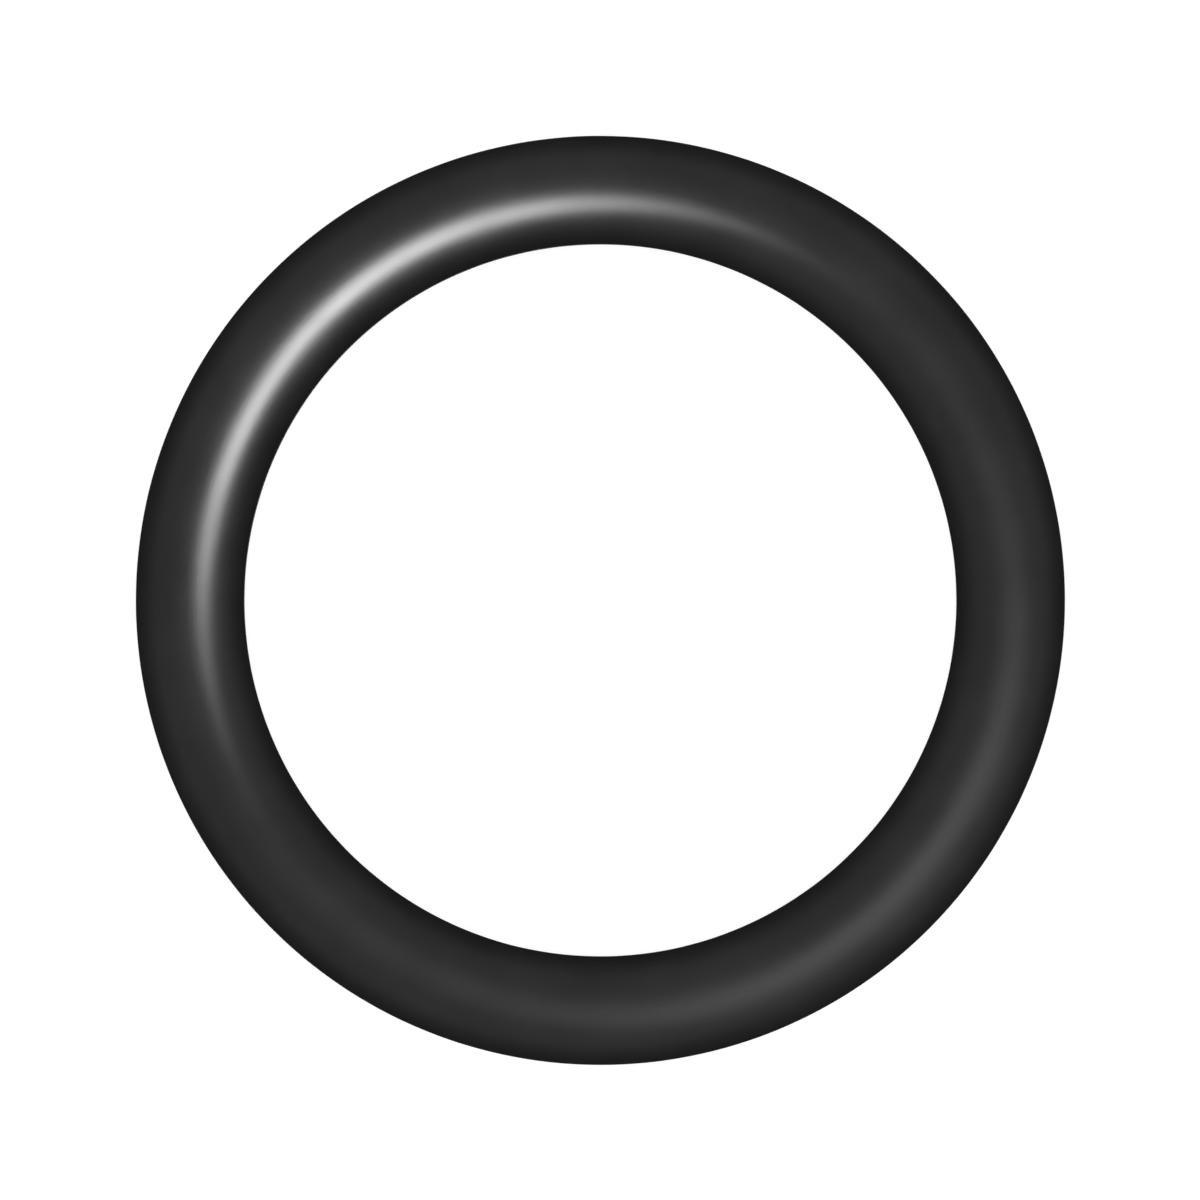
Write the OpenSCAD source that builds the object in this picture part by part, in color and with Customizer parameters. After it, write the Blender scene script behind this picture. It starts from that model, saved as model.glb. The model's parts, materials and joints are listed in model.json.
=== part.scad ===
/* [Ring] */
// Diameter of the hole, measured on the round section
inner_d = 23.39; // [5:0.01:60]
// Thickness of the round section
section_d = 3.53; // [1:0.01:7]

/* [Mould line] */
// Height that the trimmed mould line stands proud of the section
mould_line_h = 0.02; // [0.01:0.01:0.10]
// Width of the flat top of the mould line
mould_line_w = 0.10; // [0.05:0.01:0.30]

/* [Hidden] */

section_r = section_d / 2;
// The middle of the section runs on this radius round the ring's axis
ring_r = inner_d / 2 + section_r;
rubber_black = [0.17, 0.17, 0.17];
section_sides = 96;
ring_sides = 256;

// The solid round cord that the ring is made of, cut across
module round_section() {
    circle(r = section_r, $fn = section_sides);
}

// Where the two mould halves met, the rubber squeezed between them leaves a narrow
// flat-topped line round the hole and another round the outside, both at mid-height
module mould_line_section() {
    square([section_d + 2 * mould_line_h, mould_line_w], center = true);
}

// The ring is one solid, centred on its axis, with mid-height at zero
module o_ring() {
    color(rubber_black)
        rotate_extrude($fn = ring_sides)
            translate([ring_r, 0]) {
                round_section();
                mould_line_section();
            }
}

o_ring();
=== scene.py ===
"""A moulded black rubber o-ring lying flat on a pale floor, seen from straight above."""

import json
import math

import bmesh
import bpy
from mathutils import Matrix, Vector, noise


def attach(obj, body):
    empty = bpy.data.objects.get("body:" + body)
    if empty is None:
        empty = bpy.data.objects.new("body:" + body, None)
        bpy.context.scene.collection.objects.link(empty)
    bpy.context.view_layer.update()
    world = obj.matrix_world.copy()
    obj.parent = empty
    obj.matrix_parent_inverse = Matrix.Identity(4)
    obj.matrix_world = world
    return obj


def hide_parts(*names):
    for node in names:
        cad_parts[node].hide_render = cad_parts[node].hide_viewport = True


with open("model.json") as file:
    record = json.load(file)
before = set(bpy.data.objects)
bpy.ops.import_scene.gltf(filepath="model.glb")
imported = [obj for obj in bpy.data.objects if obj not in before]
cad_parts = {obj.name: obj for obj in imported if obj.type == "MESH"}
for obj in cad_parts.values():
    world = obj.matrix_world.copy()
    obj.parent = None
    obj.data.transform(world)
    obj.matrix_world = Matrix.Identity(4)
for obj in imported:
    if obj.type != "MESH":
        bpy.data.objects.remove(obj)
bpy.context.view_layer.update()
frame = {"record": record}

MM = 0.001
MICRON = 0.000001

# The ring's own sizes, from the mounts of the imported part
mounts = {m["name"]: m for m in frame["record"]["mounts"]}
SECTION_R = mounts["upper_contact"]["pos_m"][2]
RING_R = mounts["upper_contact"]["dims"]["r_mm"] * MM
LINE_HEIGHT = mounts["outer_rim"]["dims"]["r_mm"] * MM - RING_R - SECTION_R
LINE_WIDTH = mounts["outer_rim"]["dims"]["length_mm"] * MM

# Mesh steps round the ring, and round its section apart from the mould lines
RING_STEPS = 528
SECTION_STEPS = 96

# The trimmed mould line: the width of its flank, and the share of its height and width that wavers
FLANK_WIDTH = 0.011 * MM
LINE_WAVER = 0.35
# Each line has three wavers: its height and the places of its two edges. A waver is read from noise
# along a circle of this radius, and the circles lie this far apart, both in the noise's own cells
LINE_WAVERS = 3
WAVER_CIRCLE = 12
WAVER_APART = 10

# The ring's skin is laid out flat in strips on this map, through which its textures are baked. The
# last value is the bare margin at each side of a strip, as a share of the strip
MAP_NAME = "OFBake"
MAP_STRIPS = 3
MAP_EDGE = 0.006

# The rubber: the grey of its darker and paler clouds, its roughness, how far the clouds move that
# up and down, and how much more of it the mould line has
RUBBER_DARK = 0.0222
RUBBER_PALE = 0.0284
ROUGHNESS = 0.40
ROUGHNESS_SPREAD = 0.025
LINE_ROUGHNESS = 0.12
RUBBER_IOR = 1.5

# Its gloss seen square on, how far from that the gloss is halved, and how sharply it fades there
GLOSS = 0.096
FADE_AT = 0.29
FADE_POWER = 6.1

# Its finish: clouds, a fine grain, and the lathe lines of the mould, which run round the ring. On the
# way round they change as noise does along a circle with a radius of LATHE_RUN cells
CLOUD_SIZE = 2.2 * MM
CLOUD_DETAIL = 5
CLOUD_LOW = 0.3
CLOUD_HIGH = 0.7
GRAIN_SIZE = 0.10 * MM
GRAIN_DETAIL = 2
GRAIN_HEIGHT = 2.5 * MICRON
LATHE_SIZE = 0.05 * MM
LATHE_DETAIL = 1
LATHE_HEIGHT = 1.2 * MICRON
LATHE_RUN = 3.0

# The camera looks straight down through a long lens
CAMERA_HEIGHT = 175 * MM
LENS = 160
SENSOR = 36
CLIP_NEAR = 1 * MM
CLIP_FAR = 10
# The ring lies this many of the picture's pixels right of the picture's middle, and as many below it
OFF_MIDDLE = 0.4
PICTURE_SIDE = 1200

# The floor, and the broad soft lamp above it that gives the even light
FLOOR_R = 250 * MM
FLOOR_SIDES = 96
FLOOR_GREY = 0.3
FLOOR_WHITE = 0.87
WORLD_LEVEL = 0.05
SOFT_POWER = 0.40
SOFT_HEIGHT = 210 * MM
SOFT_SIZE = 210 * MM

# A small lamp over the hole, turned to one side, which draws the bright arc
KEY = {
    "power": 0.40,
    "azimuth": math.radians(131.5),
    "reach": 0,
    "height": 22.3 * MM,
    "tilt": math.radians(40),
    "cone": math.radians(33),
    "size": 8 * MM,
}

# A wide weak lamp outside the ring, which draws the faint arc across from it
GLINT = {
    "power": 0.129,
    "azimuth": math.radians(313),
    "reach": 26.8 * MM,
    "height": 25 * MM,
    "tilt": math.radians(9),
    "cone": math.radians(68.8),
    "size": 22 * MM,
}


def polar(radius, azimuth, height):
    return Vector((radius * math.cos(azimuth), radius * math.sin(azimuth), height))


def plug(tree, value, socket):
    """Links a socket to a socket, or sets it to a plain value."""
    if isinstance(value, bpy.types.NodeSocket):
        tree.links.new(value, socket)
    else:
        socket.default_value = value


def maths(tree, operation, *values):
    made = tree.nodes.new("ShaderNodeMath")
    made.operation = operation
    for value, socket in zip(values, made.inputs):
        plug(tree, value, socket)
    return made.outputs[0]


def vector(tree, x, y, z):
    made = tree.nodes.new("ShaderNodeCombineXYZ")
    for value, socket in zip((x, y, z), made.inputs):
        plug(tree, value, socket)
    return made.outputs[0]


def remap(tree, value, start, end, low, high, curve="LINEAR"):
    """Takes start..end to low..high, and holds the ends."""
    made = tree.nodes.new("ShaderNodeMapRange")
    made.interpolation_type = curve
    names = ("Value", "From Min", "From Max", "To Min", "To Max")
    for name, given in zip(names, (value, start, end, low, high)):
        plug(tree, given, made.inputs[name])
    return made.outputs["Result"]


def mottle(tree, place, size, detail, turn=None):
    """Noise from 0 to 1 with patches of about this size, in four dimensions where turn is given."""
    made = tree.nodes.new("ShaderNodeTexNoise")
    made.noise_dimensions = "3D" if turn is None else "4D"
    plug(tree, place, made.inputs["Vector"])
    made.inputs["Scale"].default_value = 1 / size
    made.inputs["Detail"].default_value = detail
    if turn is not None:
        plug(tree, turn, made.inputs["W"])
    return made.outputs["Fac"]


def new_material(name):
    material = bpy.data.materials.new(name)
    material.use_nodes = True
    tree = material.node_tree
    tree.nodes.clear()
    output = tree.nodes.new("ShaderNodeOutputMaterial")
    return material, tree, output


def lathe_lines(tree, across, along, up):
    """Noise that is thin in the section and long round the ring, with no seam where the ring closes."""
    squares = [maths(tree, "POWER", axis, 2) for axis in (across, along)]
    reach = maths(tree, "SQRT", maths(tree, "ADD", *squares))
    run = LATHE_RUN * LATHE_SIZE
    cosine = maths(tree, "MULTIPLY", maths(tree, "DIVIDE", across, reach), run)
    sine = maths(tree, "MULTIPLY", maths(tree, "DIVIDE", along, reach), run)
    return mottle(tree, vector(tree, reach, up, cosine), LATHE_SIZE, LATHE_DETAIL, turn=sine)


def rubber_material():
    """Matt black rubber with faint clouds and a moulded finish, duller along its mould lines."""
    material, tree, output = new_material("black_rubber")
    shader = tree.nodes.new("ShaderNodeBsdfPrincipled")
    shader.inputs["IOR"].default_value = RUBBER_IOR
    place = tree.nodes.new("ShaderNodeTexCoord").outputs["Object"]
    axes = tree.nodes.new("ShaderNodeSeparateXYZ")
    plug(tree, place, axes.inputs[0])
    across, along, up = axes.outputs

    clouds = mottle(tree, place, CLOUD_SIZE, CLOUD_DETAIL)
    tones = tree.nodes.new("ShaderNodeValToRGB")
    stops = ((CLOUD_LOW, RUBBER_DARK), (CLOUD_HIGH, RUBBER_PALE))
    for stop, (position, grey) in zip(tones.color_ramp.elements, stops):
        stop.position = position
        stop.color = (grey, grey, grey, 1)
    plug(tree, clouds, tones.inputs["Fac"])
    plug(tree, tones.outputs["Color"], shader.inputs["Base Color"])

    smooth, dull = ROUGHNESS - ROUGHNESS_SPREAD, ROUGHNESS + ROUGHNESS_SPREAD
    cloudy = remap(tree, clouds, CLOUD_LOW, CLOUD_HIGH, smooth, dull)
    off_line = maths(tree, "ABSOLUTE", up)
    trimmed = remap(tree, off_line, LINE_WIDTH / 2, LINE_WIDTH, LINE_ROUGHNESS, 0, "SMOOTHSTEP")
    plug(tree, maths(tree, "ADD", cloudy, trimmed), shader.inputs["Roughness"])

    # The gloss of matt rubber fades where the surface is seen edge on
    facing = tree.nodes.new("ShaderNodeLayerWeight").outputs["Facing"]
    faded = maths(tree, "POWER", maths(tree, "DIVIDE", facing, FADE_AT), FADE_POWER)
    kept = maths(tree, "DIVIDE", 1, maths(tree, "ADD", faded, 1))
    plug(tree, maths(tree, "MULTIPLY", kept, GLOSS), shader.inputs["Specular IOR Level"])

    grain = maths(tree, "MULTIPLY", mottle(tree, place, GRAIN_SIZE, GRAIN_DETAIL), GRAIN_HEIGHT)
    lathe = maths(tree, "MULTIPLY", lathe_lines(tree, across, along, up), LATHE_HEIGHT)
    bump = tree.nodes.new("ShaderNodeBump")
    bump.inputs["Distance"].default_value = 1
    plug(tree, maths(tree, "ADD", grain, lathe), bump.inputs["Height"])
    plug(tree, bump.outputs["Normal"], shader.inputs["Normal"])
    plug(tree, shader.outputs["BSDF"], output.inputs["Surface"])
    return material


def waver(azimuth, number):
    """Wavers between 0 and 1 on the way round the ring, where it closes on itself."""
    place = polar(WAVER_CIRCLE, azimuth, WAVER_APART * number)
    return 0.5 + 0.5 * max(-1, min(1, noise.noise(place)))


def mould_line(azimuth, side):
    """The corners of the mould line on one side of the section. Side 0 faces out and side 1 in."""
    middle = side * math.pi
    first = LINE_WAVERS * side
    proud = SECTION_R + LINE_HEIGHT * (1 - LINE_WAVER * waver(azimuth, first))
    corners = []
    for edge, way in ((1, -1), (2, 1)):
        width = LINE_WIDTH / 2 * (1 - LINE_WAVER * waver(azimuth, first + edge))
        crest = math.asin(width / SECTION_R)
        foot = math.asin((width + FLANK_WIDTH) / SECTION_R)
        corners.append((middle + way * crest, proud / math.cos(crest), True))
        corners.append((middle + way * foot, SECTION_R, True))
    return sorted(corners)


def section(azimuth):
    """Points round the section, as (angle, distance from its middle, sharp)."""
    points = []
    steps = SECTION_STEPS // 2
    for side in (0, 1):
        points += mould_line(azimuth, side)
        for i in range(1, steps):
            points.append((side * math.pi + math.pi * i / steps, SECTION_R, False))
    return points


def lay_flat(face, layer, step, start, end):
    """Gives a face its place on the flat map: its step round the ring, and its share of the section."""
    steps = RING_STEPS // MAP_STRIPS
    strip, along = divmod(step, steps)
    span = 1 - 2 * MAP_EDGE
    left, right = (MAP_EDGE + span * i / steps for i in (along, along + 1))
    low, high = ((strip + MAP_EDGE + span * share) / MAP_STRIPS for share in (start, end))
    for loop, place in zip(face.loops, ((left, low), (right, low), (right, high), (left, high))):
        loop[layer].uv = place


def ring_mesh():
    """The whole ring as one closed grid of quads, with crisp edges along its mould lines."""
    mesh = bmesh.new()
    layer = mesh.loops.layers.uv.new(MAP_NAME)
    rows = []
    for i in range(RING_STEPS):
        azimuth = 2 * math.pi * i / RING_STEPS
        points = section(azimuth)
        row = []
        for angle, out, _ in points:
            place = polar(RING_R + out * math.cos(angle), azimuth, out * math.sin(angle))
            row.append(mesh.verts.new(place))
        rows.append(row)
    start = points[0][0]
    shares = [(angle - start) / (2 * math.pi) for angle, _, _ in points] + [1]
    sharp_lines = [j for j, point in enumerate(points) if point[2]]
    count = len(points)
    for i, here in enumerate(rows):
        after = rows[(i + 1) % RING_STEPS]
        for j in range(count):
            k = (j + 1) % count
            face = mesh.faces.new((here[j], after[j], after[k], here[k]))
            face.smooth = True
            lay_flat(face, layer, i, shares[j], shares[j + 1])
        for j in sharp_lines:
            mesh.edges.get((here[j], after[j])).smooth = False
    mesh.normal_update()
    data = bpy.data.meshes.new("moulded_ring")
    mesh.to_mesh(data)
    mesh.free()
    return data


def make_ring():
    ring = bpy.data.objects.new("moulded_ring", ring_mesh())
    bpy.context.scene.collection.objects.link(ring)
    ring.data.materials.append(rubber_material())
    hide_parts("o_ring")
    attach(ring, "root")


def seen_white(tree):
    """1 for rays from the camera and for those that gloss or glass sends on, otherwise 0."""
    path = tree.nodes.new("ShaderNodeLightPath")
    seen = path.outputs["Is Camera Ray"]
    for name in ("Is Glossy Ray", "Is Transmission Ray"):
        seen = maths(tree, "MAXIMUM", seen, path.outputs[name])
    return seen


def floor_material():
    """Pale and matt, and white to the camera and in reflections, less the object's shadow."""
    material, tree, output = new_material("pale_floor")
    matt = tree.nodes.new("ShaderNodeBsdfDiffuse")
    matt.inputs["Color"].default_value = (FLOOR_GREY, FLOOR_GREY, FLOOR_GREY, 1)
    white = tree.nodes.new("ShaderNodeEmission")
    plug(tree, maths(tree, "MULTIPLY", seen_white(tree), FLOOR_WHITE), white.inputs["Strength"])
    both = tree.nodes.new("ShaderNodeAddShader")
    plug(tree, matt.outputs[0], both.inputs[0])
    plug(tree, white.outputs[0], both.inputs[1])
    plug(tree, both.outputs[0], output.inputs["Surface"])
    return material


def make_floor():
    """A round flat floor under the lowest line of the ring."""
    mesh = bmesh.new()
    bmesh.ops.create_circle(mesh, cap_ends=True, segments=FLOOR_SIDES, radius=FLOOR_R)
    bmesh.ops.translate(mesh, verts=mesh.verts, vec=(0, 0, -SECTION_R))
    data = bpy.data.meshes.new("floor")
    mesh.to_mesh(data)
    mesh.free()
    data.materials.append(floor_material())
    floor = bpy.data.objects.new("floor", data)
    bpy.context.scene.collection.objects.link(floor)


def make_lamp(name, kind, power, place, way):
    """A lamp at a place, facing one way."""
    data = bpy.data.lights.new(name, kind)
    data.energy = power
    lamp = bpy.data.objects.new(name, data)
    bpy.context.scene.collection.objects.link(lamp)
    lamp.location = place
    lamp.rotation_mode = "QUATERNION"
    lamp.rotation_quaternion = way.to_track_quat("-Z", "Y")
    lamp.visible_camera = False
    return lamp


def make_spot(name, power, azimuth, reach, height, tilt, cone, size):
    """A spot lamp that only draws a highlight, tilted outwards from straight down."""
    way = polar(math.sin(tilt), azimuth, -math.cos(tilt))
    spot = make_lamp(name, "SPOT", power, polar(reach, azimuth, height), way)
    spot.data.spot_size = 2 * cone
    spot.data.spot_blend = 1
    spot.data.shadow_soft_size = size
    spot.visible_diffuse = False


def make_lights():
    soft = make_lamp("soft_top", "AREA", SOFT_POWER, Vector((0, 0, SOFT_HEIGHT)), Vector((0, 0, -1)))
    soft.data.shape = "DISK"
    soft.data.size = SOFT_SIZE
    soft.visible_glossy = False
    make_spot("key", **KEY)
    make_spot("glint", **GLINT)


def make_world():
    """Dim to the ring's own colour, and white to the camera and in reflections."""
    world = bpy.data.worlds.new("studio")
    bpy.context.scene.world = world
    world.use_nodes = True
    tree = world.node_tree
    background = tree.nodes["Background"]
    background.inputs["Color"].default_value = (1, 1, 1, 1)
    plug(tree, remap(tree, seen_white(tree), 0, 1, WORLD_LEVEL, 1), background.inputs["Strength"])


def make_camera():
    data = bpy.data.cameras.new("camera")
    data.sensor_width = SENSOR
    data.lens = LENS
    data.shift_x = -OFF_MIDDLE / PICTURE_SIDE
    data.shift_y = OFF_MIDDLE / PICTURE_SIDE
    data.clip_start = CLIP_NEAR
    data.clip_end = CLIP_FAR
    camera = bpy.data.objects.new("camera", data)
    bpy.context.scene.collection.objects.link(camera)
    camera.location = (0, 0, CAMERA_HEIGHT)
    bpy.context.scene.camera = camera


make_camera()
make_ring()
make_floor()
make_world()
make_lights()
bpy.context.scene.view_settings.view_transform = "Standard"
